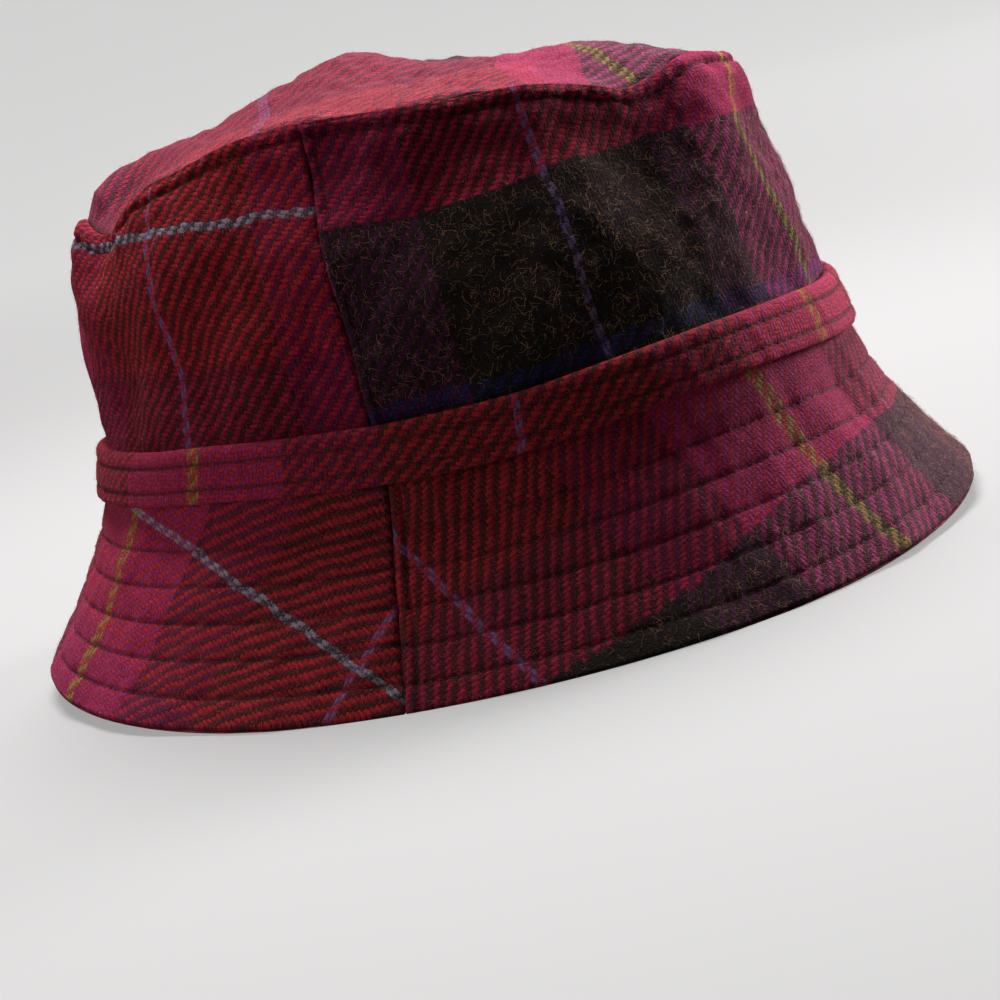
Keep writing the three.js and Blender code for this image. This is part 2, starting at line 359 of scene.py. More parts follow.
# down is the mean distance from the head seam, downHere the true one in each column
def brimGrid(middle):
    angles, arcs, half = halfColumns(middle)
    rows = np.linspace(hat["headSeam"], 0, brim["guideRows"])
    runs = columnRuns(rows, angles)
    depth = runs[:, -1].mean()
    down = np.linspace(0, depth, int(depth / brim["rowStep"]))
    downHere = down[None, :] * runs[:, -1:] / depth
    grid = wallPoint(rowsAt(downHere, runs, rows), angles[:, None])
    return {"middle": middle, "arcs": arcs, "half": half, "down": down, "downHere": downHere,
            "grid": grid, "normals": -gridNormals(grid)}


# the flat pattern of a brim half, laid on the cloth
def brimCloth(cut, arcs, down):
    across, along = cut
    radius = brim["flatRadius"]
    turn = arcs[:, None] / radius
    return np.stack([(radius + down) * np.sin(turn) + across,
                     radius - (radius + down) * np.cos(turn) + along], axis=-1)


def brimShift(part):
    shift = np.zeros((*part["downHere"].shape, 2))
    if part["middle"] == frontHalf:
        share = np.interp(np.abs(part["arcs"]), brim["easeArcs"], (0, 1))
        shift[..., 1] = -brim["ease"] * share[:, None]
    return shift


def brimRelief(part, cloth):
    down, spacing = part["down"], brim["rowSpacing"]
    nearest = np.clip(np.round((down - brim["firstRow"]) / spacing), 0, brim["rows"] - 1)
    gap = (down - (brim["firstRow"] + nearest * spacing))[None, :]
    groove = bell(gap, brim["grooveWidth"])
    channel = np.sin(np.pi * np.clip(np.abs(gap) / spacing, 0, 0.5)) ** 0.8
    relief = brim["puff"] * channel - brim["grooveDepth"] * groove
    swell, ripple = (swells(cloth, part["middle"], *brim[key]) for key in ("swell", "ripple"))
    between = brim["rippleBetween"]
    ripple = ripple * (between + (1 - between) * bell(gap, brim["rippleWidth"]))
    seamRelief, seamCrease = sideSeamRelief(part, brim)
    relief = relief + swell + ripple + seamRelief
    # painted shade in the stitched grooves and the side seams
    return relief, np.maximum(brim["grooveCrease"] * groove, seamCrease)


def buildBrimHalf(name, material, middle):
    part = brimGrid(middle)
    cloth = brimCloth(brim["cut"][middle], part["arcs"], part["downHere"])
    relief, crease = brimRelief(part, cloth)
    lastDown = unit(part["grid"][:, -1:] - part["grid"][:, -4:-3])
    edgeRadius = clothThickness / 2
    kept = part["down"] < part["down"][-1] - edgeRadius - brim["edgeLip"]
    grid, normals, cloth, shift, relief, crease = (values[:, kept] for values in (
        part["grid"], part["normals"], cloth, brimShift(part), relief, crease))
    outer = grid + normals * relief[..., None]
    sweep = np.radians(np.linspace(20, 160, brim["edgeSteps"]))[None, :, None]
    rim = np.cos(sweep) * normals[:, -1:] + np.sin(sweep) * lastDown
    rim = outer[:, -1:] + edgeRadius * (rim - normals[:, -1:])
    rimPlaces = (np.repeat(values[:, -1:], rim.shape[1], axis=1) for values in (cloth, shift))
    piece = buildShell(name, material, [
        stretchOf(outer, cloth, shift, crease),
        stretchOf(rim, *rimPlaces),
        insideStretch(grid, normals, cloth, shift, brim["insideRows"])])
    part.update(outer=outer, outerNormals=-gridNormals(outer), outerCloth=cloth + shift)
    return piece, part


# a line between two rows of a grid, and the number of the row before it
def lineBetween(grid, place):
    low = int(np.clip(np.floor(place), 0, grid.shape[1] - 2))
    share = place - low
    return grid[:, low] * (1 - share) + grid[:, low + 1] * share, low


facing = {
    "thickness": 1.2,
    "room": 0.3,                                     # between it and the brim
    "cut": (60, 8),
    "fromSeam": 0.4,                                 # how far below the head seam it begins
    "levels": (40, 25, 12, 4, 1.4), "backLevels": (1.6, 12, 25, 40),  # distances up from the brim edge
    # its turned edge: distance up from the brim edge, and in from the outside of the brim
    "edge": [(0.62, 1.9), (0.5, 1.2), (0.42, 0.5), (0.2, 0.25), (0.0, 0.45), (-0.05, 1.2), (0.1, 2.1),
             (0.6, 3.0)],
}


def buildFacing(name, material, middle):
    part = brimGrid(middle)
    grid, normals, arcs = (part[key][::2] for key in ("grid", "normals", "arcs"))
    down, total = part["down"], part["down"][-1]
    under = clothThickness + facing["room"]
    back = under + facing["thickness"]
    top = total - facing["fromSeam"]
    profile = [(up, under) for up in (top, *facing["levels"])] + facing["edge"]
    profile += [(up, back) for up in (*facing["backLevels"], top)]
    section = []
    for up, inset in profile:
        line, low = lineBetween(grid, np.interp(total - up, down, np.arange(len(down))))
        section.append(line - normals[:, low] * inset)
    ups = np.array([up for up, _ in profile])
    cloth = brimCloth(facing["cut"], arcs, total - ups[None, :])
    return buildShell(name, material, [stretchOf(np.stack(section, axis=1), cloth)]), part


crown = {
    "guideRows": 81, "rowStep": 0.8, "topStep": 0.3, "topRun": 7, "fromHeadSeam": 0.4,
    # where each half is cut from the cloth: across and along at the middle of its head seam
    "cut": {frontHalf: (84.5, -119.0), backHalf: (-91.0, -65.5)},
    "rises": [(0.5, 1.5, 1.3), (0.5, 6.5, 2.6)],     # rise, distance below the tip seam, spread
    "stitchAt": 3.2, "grooveDepth": 0.5, "grooveWidth": 0.5, "grooveCrease": 0.7,
    # seed, height, length, stretch; the puckers lie just below the tip seam
    "swell": (21, 0.7, 34), "ripple": (31, 0.16, 9), "pucker": (41, 0.2, 3.6, 0.1),
    "puckerAt": 2, "puckerWidth": 2.4,
    "seamRise": 0.45, "seamSink": 0.3, "seamCrease": 0.35,
    "rollHeight": 0.7, "rollSteps": 9, "rollCloth": 3,  # the wall's top rolls over and under the tip's rim
    "underRim": 0.9, "fall": 1.2,
    "insideRows": 12,
    # the front corner hides a fold of cloth: how much, from where to where along the head seam, and
    # how large its share is at each height above that seam; past the corner the share evens out
    "gather": 27, "gatherArcs": (-55, -24),
    "gatherHeights": (18, 54, 61, 74), "gatherShares": (0.5, 1.0, 0.8, 0.3),
    "evenShare": 0.7, "evenArcs": (0, 60),
}


def crownGrid(middle):
    angles, arcs, half = halfColumns(middle)
    rows = np.linspace(hat["headSeam"], hat["tipSeam"], crown["guideRows"])
    runs = columnRuns(rows, angles)
    total, topRun, first = runs[:, -1:], crown["topRun"], crown["fromHeadSeam"]
    lowShare = np.linspace(0, 1, int((total.mean() - topRun) / crown["rowStep"]))
    topSteps = np.linspace(0, topRun, int(topRun / crown["topStep"]))[1:]
    up = np.concatenate([first + lowShare * (total - topRun - first), total - topRun + topSteps], axis=1)
    grid = wallPoint(rowsAt(up, runs, rows), angles[:, None])
    return {"middle": middle, "angles": angles, "arcs": arcs, "half": half, "up": up, "grid": grid,
            "normals": gridNormals(grid)}


def crownGather(part):
    shift = np.zeros((*part["up"].shape, 2))
    if part["middle"] == frontHalf:
        along, even = (np.interp(part["arcs"], crown[key], (0, 1))[:, None]
                       for key in ("gatherArcs", "evenArcs"))
        share = np.interp(part["up"], crown["gatherHeights"], crown["gatherShares"])
        share = share + even * (crown["evenShare"] - share)
        shift[..., 0] = crown["gather"] * (along * along * (3 - 2 * along)) * share
    return shift


def crownRelief(part, cloth):
    fromTop = part["up"][:, -1:] - part["up"]
    stitched = bell(fromTop - crown["stitchAt"], crown["grooveWidth"])
    relief = risesAt(fromTop, crown["rises"]) - crown["grooveDepth"] * stitched
    swell, ripple, pucker = (swells(cloth, part["middle"], *crown[key])
                             for key in ("swell", "ripple", "pucker"))
    pucker = pucker * bell(fromTop - crown["puckerAt"], crown["puckerWidth"])
    seamRelief, seamCrease = sideSeamRelief(part, crown)
    relief = relief + swell + ripple + pucker + seamRelief
    # painted shade in the stitched groove under the tip seam and in the side seams
    return relief, np.maximum(crown["grooveCrease"] * stitched, seamCrease)


# outer surface of the tip along its own rim, and its normals
def tipRim(angles):
    share = 1 - tip["inset"] / tip["radius"]
    rim = tipPoint(share, angles)
    inward = tipPoint(share - 0.01, angles) - rim
    around = tipPoint(share, angles + 0.2) - tipPoint(share, angles - 0.2)
    normals = unit(np.cross(around, inward))
    return rim, normals * np.sign(normals[:, 2:])


def buildCrownHalf(name, material, middle):
    part = crownGrid(middle)
    up, grid, normals = part["up"], part["grid"], part["normals"]
    across, along = crown["cut"][middle]
    cloth = np.stack(np.broadcast_arrays(part["arcs"][:, None] + across, up + along), axis=-1)
    relief, crease = crownRelief(part, cloth)
    outer = grid + normals * relief[..., None]
    # the top rolls over and ends just under the rim of the tip
    rim, rimNormals = tipRim(part["angles"])
    rimNormals = rimNormals[:, None]
    start, end = outer[:, -1:], rim[:, None] - crown["underRim"] * rimNormals
    climb = start + crown["rollHeight"] * unit(grid[:, -1:] - grid[:, -4:-3])
    dive = end + crown["rollHeight"] * rimNormals
    share = np.linspace(0, 1, crown["rollSteps"] + 1)[None, 1:, None]
    roll = ((1 - share) ** 3 * start + 3 * share * (1 - share) ** 2 * climb
            + 3 * share ** 2 * (1 - share) * dive + share ** 3 * end)
    fall = end - crown["fall"] * rimNormals
    rollCloth = cloth[:, -1:] + share * np.array([0, crown["rollCloth"]])
    shift = crownGather(part)
    rollShift = np.repeat(shift[:, -1:], roll.shape[1], axis=1)
    piece = buildShell(name, material, [
        stretchOf(outer, cloth, shift, crease),
        stretchOf(roll, rollCloth, rollShift),
        # the cloth that dives under the tip's rim is darkened fully: painted shade
        stretchOf(fall, rollCloth[:, -1:], shift[:, -1:], np.ones(fall.shape[:2])),
        insideStretch(grid, normals, cloth, shift, crown["insideRows"], fromEnd=4)])
    part.update(outer=outer, outerNormals=gridNormals(outer), outerCloth=cloth + shift)
    return piece, part


tip = {
    "columns": 420, "radius": 77.0, "ringStep": 0.95, "rimStep": 0.3, "rimRun": 5,
    "firstRing": 0.02, "insideRows": 14,
    "inset": 1.5,                                    # the seam lies this far inside the wall's outline
    "rises": [(-0.5, 0, 1.1), (0.35, 3.5, 2.2)],     # rise, distance in from the rim, spread
    "rimCrease": 0.9,
    "swell": (51, 0.5, 36), "ripple": (52, 0.2, 7),  # seed, height, length
    # x, y, rise and spread of the fullness at the back corner, and how near the rim it fades out
    "cornerFill": (-21, 70, 4.2, 9), "cornerFade": 5,
    "grain": 15,                                     # degrees that the warp turns from straight across
    "across": 208.0, "along": 73.0,
    # the front folds hide cloth, so the stripes run aslant there and the olive comes nearer
    "drag": 0.7, "dragFrom": (30, 70), "dragMiddle": -30, "dragEnd": 20,
    "oliveShift": 60, "oliveFrom": (42, 66),
    "stripeStretch": 1.47,                           # the dome takes up cloth across its middle
}


def buildCrownTip(name, material):
    radius, rimRun = tip["radius"], tip["rimRun"]
    edge = radius - tip["inset"]
    middleRun = edge - rimRun
    out = np.concatenate([
        np.linspace(tip["firstRing"], middleRun, int(middleRun / tip["ringStep"])),
        np.linspace(middleRun, edge, int(rimRun / tip["rimStep"]))[1:]])
    angles = np.linspace(0, 360, tip["columns"], endpoint=False)
    grid = tipPoint(out[None, :] / radius, angles[:, None])
    normals = -gridNormals(grid, wraps=True)
    normals[normals[..., 2] < 0] *= -1
    grain = math.radians(tip["grain"])
    x, y = grid[..., 0], grid[..., 1]
    u = x * math.sin(grain) - y * math.cos(grain) + tip["across"]
    v = x * math.cos(grain) + y * math.sin(grain) + tip["along"]
    cloth = np.stack([u, v], axis=-1)
    pull = np.interp(-y, tip["dragFrom"], (0, tip["drag"]))
    pull = pull * (np.minimum(x, tip["dragEnd"]) - tip["dragMiddle"])
    olivePull = np.interp(-y, tip["oliveFrom"], (0, tip["oliveShift"]))
    shift = np.stack([pull, v / tip["stripeStretch"] + olivePull - v], axis=-1)
    fromRim = (edge - out)[None, :]
    swell, ripple = (swells(cloth, 0, *tip[key]) for key in ("swell", "ripple"))
    relief = risesAt(fromRim, tip["rises"]) + swell + ripple
    fillX, fillY, fillRise, fillSpread = tip["cornerFill"]
    fill = fillRise * bell(np.hypot(x - fillX, y - fillY), fillSpread)
    relief = relief + fill * np.clip(fromRim / tip["cornerFade"], 0, 1)
    outer = grid + normals * relief[..., None]
    # painted shade along the tip's seam
    crease = bell(fromRim, tip["rimCrease"]) * np.ones(outer.shape[:2])
    piece = buildShell(name, material, [
        stretchOf(outer, cloth, shift, crease),
        insideStretch(grid, normals, cloth, shift, tip["insideRows"])], wraps=True)
    return piece, {"outer": outer, "outerNormals": normals, "outerCloth": cloth + shift}


band = {
    "height": 13.4, "thickness": 2.6,
    "standOff": 0.7,                                 # room between the crown and the band
    "columns": 640, "faceRows": 30, "edgeRows": 5, "backRows": 6,
    "edgeRound": 1.3,
    "stitchFromEdge": 3.7, "grooveDepth": 0.42, "grooveWidth": 0.5, "grooveCrease": 0.6, "puff": 0.4,
    # turns round the hat and phase of its slow waves and its quick ripples, and how large they are
    "waves": [(3, 0.4), (7, 2.1), (11, 4.0), (17, 1.1)], "waveOut": 0.3, "waveUp": 0.2,
    "ripples": [(43, 0.4), (61, 2.1), (83, 4.0), (109, 1.1)], "rippleOut": 0.2, "rippleSlant": 0.25,
    # where it is cut from the cloth, and how far the stripes lean at the back and at the front
    "across": -33.5, "along": 16.0, "leanArcs": (-120, 120), "leans": (0.36, 0.06),
}


# a point of the plain band: up is measured from its lower edge, out from the crown
def bandPoint(out, up, angle):
    headSeam = hat["headSeam"]
    heights = hat["sections"][:, 0]
    return wallPoint(headSeam + up / (heights[headSeam + 1] - heights[headSeam]), angle, out)


# mean of sine waves round the band, each given as (turns, phase)
def bandWave(turn, waves, slant=0.0):
    return sum(np.sin(turns * turn + phase + slant) for turns, phase in waves) / len(waves)


def buildBand(name, material):
    height, thick, edgeRound = (band[key] for key in ("height", "thickness", "edgeRound"))
    steps = np.linspace(0, 360, 661)
    seamRun = runLength(bandPoint(thick + band["standOff"], 0.0, steps))
    arcs = np.linspace(0, seamRun[-1], band["columns"], endpoint=False)
    rise = np.linspace(edgeRound, height - edgeRound, band["faceRows"])
    fromEdge = band["stitchFromEdge"]
    gap = np.minimum(np.abs(rise - fromEdge), np.abs(rise - (height - fromEdge)))
    groove = bell(gap, band["grooveWidth"])
    puff = band["puff"] * np.sin(np.pi * rise / height)
    # round lower edge, face, round upper edge, back
    edgeRows, backRows = band["edgeRows"], band["backRows"]
    lowSweep, highSweep = (np.radians(np.linspace(*ends, edgeRows)) for ends in ((-90, -15), (15, 90)))
    out = band["standOff"] + np.concatenate([
        thick - edgeRound + edgeRound * np.cos(lowSweep),
        thick + puff - band["grooveDepth"] * groove,
        thick - edgeRound + edgeRound * np.cos(highSweep),
        np.zeros(backRows)])
    up = np.concatenate([
        edgeRound + edgeRound * np.sin(lowSweep),
        rise,
        height - edgeRound + edgeRound * np.sin(highSweep),
        np.linspace(height - 0.2, 0.2, backRows)])
    face = slice(0, len(up) - backRows)
    isFace = np.zeros(len(up))
    isFace[face] = 1.0
    turn = 2 * np.pi * arcs[:, None] / seamRun[-1]
    wave = bandWave(turn, band["waves"])
    ripple = bandWave(turn, band["ripples"], band["rippleSlant"] * up[None, :])
    out = out + isFace * (band["waveOut"] * wave + band["rippleOut"] * ripple)
    angles = np.interp(arcs, seamRun, steps)[:, None]
    section = bandPoint(out, up + band["waveUp"] * wave, angles)
    around = (arcs - np.interp(180, steps, seamRun))[:, None]
    lean = np.interp(around, band["leanArcs"], band["leans"])
    cloth = np.stack(np.broadcast_arrays(around + band["across"] - lean * up,
                                         up + band["along"]), axis=-1)
    # painted shade in the band's stitched grooves
    crease = np.concatenate([np.zeros(edgeRows), band["grooveCrease"] * groove,
                             np.zeros(edgeRows + backRows)]) * np.ones_like(around)
    piece = buildShell(name, material, [stretchOf(section, cloth, crease=crease)], wraps=True)
    outer = section[:, face]
    return piece, {"outer": outer, "outerNormals": gridNormals(outer, wraps=True),
                   "outerCloth": cloth[:, face], "up": up[face]}


# rings round the paths of threads or fibres: path[strand, ring], and a radius for each ring
def ringsRound(path, sideways, upward, sides, radius):
    turn = np.linspace(0, 2 * np.pi, sides, endpoint=False)[:, None]
    ring = np.cos(turn) * sideways[:, :, None] + np.sin(turn) * upward[:, :, None]
    return path[:, :, None] + radius[..., None, None] * ring


# tubes[strand, ring, side] as one mesh with closed ends, or with each strand running out in its tip
def tubeObject(name, material, tubes, tips=None):
    strands, rings, sides = tubes.shape[:3]
    index = np.arange(strands * rings * sides).reshape(strands, rings, sides)
    turned = np.roll(index, -1, axis=2)
    faces = quadFaces(index[:, :-1], turned[:, :-1], turned[:, 1:], index[:, 1:]).tolist()
    faces += index[:, 0, ::-1].tolist()
    points = tubes.reshape(-1, 3)
    if tips is None:
        faces += index[:, -1].tolist()
    else:
        tipIndex = np.repeat(index.size + np.arange(strands)[:, None], sides, axis=1)
        faces += np.stack([index[:, -1], turned[:, -1], tipIndex], axis=-1).reshape(-1, 3).tolist()
        points = np.concatenate([points, tips])
    points[:, 2] = np.maximum(points[:, 2], floorGap)
    return newObject(name, points * mm, faces, material)


stitch = {
    "length": 2.1, "pitch": 2.6, "start": 0.6, "radius": 0.17, "sides": 5, "rings": 5,
    "arch": 0.16, "sunk": 0.12, "thinEnds": 0.45,
    "colour": (60, 14, 26), "shades": (0.6, 1.4), "twistScale": 2400,
}


# one joined mesh of sunk stitches along several lines; each line is (points, normals)
def buildStitches(name, lines, material):
    share = np.linspace(0, 1, stitch["rings"])
    thin = stitch["thinEnds"]
    radius = stitch["radius"] * (thin + (1 - thin) * np.sin(np.pi * share) ** 0.5)
    lift = stitch["arch"] * np.sin(np.pi * share) - stitch["sunk"]
    tubes = []
    for line in lines:
        run = runLength(line[0])
        starts = np.arange(stitch["start"], run[-1] - stitch["pitch"], stitch["pitch"])
        at = starts[:, None] + share[None, :] * stitch["length"]
        place, normal = (np.stack([np.interp(at, run, values[:, k]) for k in range(3)], axis=-1)
                         for values in line)
        normal = unit(normal)
        sideways = unit(np.cross(unit(np.gradient(place, axis=1)), normal))
        path = place + normal * lift[:, None]
        tubes.append(ringsRound(path, sideways, normal, stitch["sides"], radius))
    return tubeObject(name, material, np.concatenate(tubes))


def lineAt(part, place):
    points, low = lineBetween(part["outer"], place)
    return points, part["outerNormals"][:, low]


# lines of stitches beside both side seams of the front half, over some of its rows
def sideLines(part, rows):
    if part["middle"] == backHalf:
        return []
    fromMiddle = part["half"] - seamGap - sideSeam["stitchAt"]
    places = [int(np.argmin(np.abs(part["arcs"] - side * fromMiddle))) for side in (-1, 1)]
    return [(part["outer"][place, rows], part["outerNormals"][place, rows]) for place in places]


def brimStitchLines(part):
    rowStep = part["down"][1] - part["down"][0]
    downs = [brim["firstRow"] + row * brim["rowSpacing"] for row in range(brim["rows"])]
    lines = [lineAt(part, down / rowStep) for down in downs]
    return lines + sideLines(part, slice(6, -2))


def crownStitchLines(part):
    fromTop = part["up"][0, -1] - part["up"][0]
    place = np.interp(-crown["stitchAt"], -fromTop, np.arange(len(fromTop)))
    return [lineAt(part, place)] + sideLines(part, slice(0, int(place)))


def bandStitchLines(part):
    fromEdge, height = band["stitchFromEdge"], band["height"]
    rows = [lineAt(part, np.interp(at, part["up"], np.arange(len(part["up"]))))
            for at in (fromEdge, height - fromEdge)]
    return [[np.vstack([values, values[:1]]) for values in row] for row in rows]


hairs = {
    "nap": {"length": (0.6, 1.6), "radius": 0.034, "rings": 2, "lift": (0.15, 0.8), "curl": 0.6},
    "stray": {"length": (1.6, 4.2), "radius": 0.028, "rings": 5, "lift": (0.1, 0.5), "curl": 1.0},
    "sides": 3, "taper": 0.6,
    "scatter": (0.5, 0.4),                           # across and up from the place that was picked
    "bend": 0.6, "kink": 0.5,                        # how much of the curl is even and how much in turns
    "strayRise": 0.12,
    "goldenShare": 0.62, "shades": (0.7, 1.5), "gain": 1.3,
}


# wool colour of the cloth at each place, from the warp or the weft at random
def woolTints(cloth, chance):
    tints = np.zeros((len(cloth), 3))
    fromWarp = chance.random(len(cloth)) < 0.5
    for stripes, axis, chosen in ((sett["warp"], 0, fromWarp), (sett["weft"], 1, ~fromWarp)):
        colours = np.array([linearColour(sett["wool"][wool]) for _, wool in stripes])
        tints[chosen] = colours[stripeAt(stripes, cloth[chosen, axis])]
    golden = isOliveCloth(cloth) & (chance.random(len(cloth)) < hairs["goldenShare"])
    tints[golden] = linearColour(sett["golden"])
    shade = chance.uniform(*hairs["shades"], (len(cloth), 1)) * hairs["gain"]
    return np.clip(tints * shade, 0, 1)


def buildFibres(name, part, kind, count, seed, material, oliveOnly=0.0):
    chance = np.random.default_rng(seed)
    details, sides = hairs[kind], hairs["sides"]
    grid, cloth = part["outer"], part["outerCloth"]
    # places are picked by area, so that fine columns don't gather fibres
    across, up = (np.linalg.norm(np.gradient(grid, axis=axis), axis=-1) for axis in (0, 1))
    weight = (across * up * np.where(isOliveCloth(cloth), 1.0, 1.0 - oliveOnly)).ravel()
    picked = chance.choice(len(weight), count, p=weight / weight.sum())
    root, normal = grid.reshape(-1, 3)[picked], part["outerNormals"].reshape(-1, 3)[picked]
    tints = woolTints(cloth.reshape(-1, 2)[picked], chance)
    nearlyUp = np.array([0.0, 0.0, 1.0]) + 1e-6
    sideways = unit(np.cross(normal, nearlyUp))
    upward = np.cross(sideways, normal)
    for direction, reach in zip((sideways, upward), hairs["scatter"]):
        root = root + direction * chance.uniform(-reach, reach, (count, 1))
    rings = details["rings"]
    length = chance.uniform(*details["length"], (count, 1))
    heading = chance.uniform(0, 2 * np.pi, (count, 1))
    curl = chance.normal(0, details["curl"], (count, rings))
    lift = chance.uniform(*details["lift"], (count, 1))
    path = [root]
    for ring in range(1, rings):
        heading = heading + curl[:, :1] * hairs["bend"] + curl[:, ring:ring + 1] * hairs["kink"]
        step = np.cos(heading) * sideways + np.sin(heading) * upward
        path.append(path[-1] + length / (rings - 1) * step)
    share = np.linspace(0, 1, rings)[None, :]
    if kind == "nap":
        rise = lift * share
    else:
        rise = hairs["strayRise"] + lift * np.sin(np.pi * share * chance.uniform(0.5, 1.0, (count, 1)))
    path = np.stack(path, axis=1) + normal[:, None] * rise[..., None]
    forward = unit(np.gradient(path, axis=1))
    ringSide = unit(np.cross(forward, normal[:, None]))
    radius = details["radius"] * (1 - hairs["taper"] * share)
    tubes = ringsRound(path, ringSide, np.cross(ringSide, forward), sides, radius)
    piece = tubeObject(name, material, tubes[:, :-1], path[:, -1])
    tints = np.concatenate([np.repeat(tints, (rings - 1) * sides, axis=0), tints])
    layer = piece.data.color_attributes.new("tint", "FLOAT_COLOR", "POINT")
    layer.data.foreach_set("color", np.c_[tints, np.ones(len(tints))].astype(np.float32).ravel())
    return piece


def feed(tree, node, values):
    for key, value in values.items():
        socket = node.inputs[key]
        if isinstance(value, bpy.types.NodeSocket):
            tree.links.new(value, socket)
        else:
            socket.default_value = value


def addNode(tree, kind, values=None, **settings):
    node = tree.nodes.new(kind)
    for key, value in settings.items():
        setattr(node, key, value)
    feed(tree, node, values or {})
    return node


def calc(tree, operation, *values, clamp=False):
    node = addNode(tree, "ShaderNodeMath", dict(enumerate(values)), operation=operation, use_clamp=clamp)
    return node.outputs[0]


# a plain mix of two numbers or of two colours
def mixOf(tree, kind, amount, first, second, blend="MIX"):
    at, out = {"FLOAT": (2, 0), "RGBA": (6, 2)}[kind]
    node = addNode(tree, "ShaderNodeMix", data_type=kind, blend_type=blend)
    feed(tree, node, {0: amount, at: first, at + 1: second})
    return node.outputs[out]


def noiseAt(tree, vector, scale, detail=2.0, distortion=0.0, roughness=0.5):
    return addNode(tree, "ShaderNodeTexNoise", {
        "Vector": vector, "Scale": scale, "Detail": detail, "Distortion": distortion,
        "Roughness": roughness}).outputs


def rangeOf(tree, *values):
    node = addNode(tree, "ShaderNodeMapRange", dict(enumerate(values)), interpolation_type="SMOOTHSTEP")
    return node.outputs[0]


# stripes of the sett as a stepped ramp; the alpha of a stop says how hairy its yarn is
def stripeRamp(tree, place, stripes):
    total = stripes[-1][0]
    share = calc(tree, "DIVIDE", calc(tree, "FLOORED_MODULO", place, total), total)
    ramp = addNode(tree, "ShaderNodeValToRGB", {0: share})
    ramp.color_ramp.interpolation = "CONSTANT"
    stops = ramp.color_ramp.elements
    while len(stops) < len(stripes):
        stops.new(1.0)
    start = 0.0
    for stop, (reach, wool) in zip(stops, stripes):
        stop.position = start
        stop.color = (*linearColour(sett["wool"][wool]), sett["hairy"].get(wool, 0.0))
        start = reach / total
    return ramp.outputs


def newGroup(name, inputs, outputs):
    tree = bpy.data.node_groups.new(name, "ShaderNodeTree")
    for title, start in inputs.items():
        socket = tree.interface.new_socket(name=title, in_out="INPUT", socket_type="NodeSocketFloat")
        socket.default_value = start
    for title, kind in outputs.items():
        tree.interface.new_socket(name=title, in_out="OUTPUT", socket_type=kind)
    return tree, addNode(tree, "NodeGroupInput").outputs, addNode(tree, "NodeGroupOutput")


twill = {
    # slow bend of the yarns and their quick unevenness: how far, and the scale per millimetre
    "wobbles": [(1.4, 0.11), (0.42, 0.9)],
    "plies": 3.0, "plyDepth": 0.42,                  # twists in one float, and how deep they are
    "endDip": 0.55,                                  # how far a float sinks at its ends
    "cavityShade": 0.3,                                   # painted shade: how dark the colour gets between the yarns
    "yarnSpread": 0.35,                              # how much single yarns differ in lightness
    # how far a yarn takes the colour of its neighbours, and how its lightness varies: low and high
    "blend": (0.05, 0.6), "mottle": (0.62, 1.42),
    # the last is how dark the painted shade in creases, seams and grooves is
    "fibreWidth": 0.016, "fuzz": 0.8, "creaseShade": 0.72,
    # scale per millimetre, detail, distortion and roughness of each noise
    "blendNoise": (2.4, 3.0, 0.6), "mottleNoise": (1.9, 4.0, 0.4, 0.65),
    "fibreNoise": (1.25, 3.0, 1.6, 0.6), "fuzzNoise": (3.5, 3.0, 0.8),
}


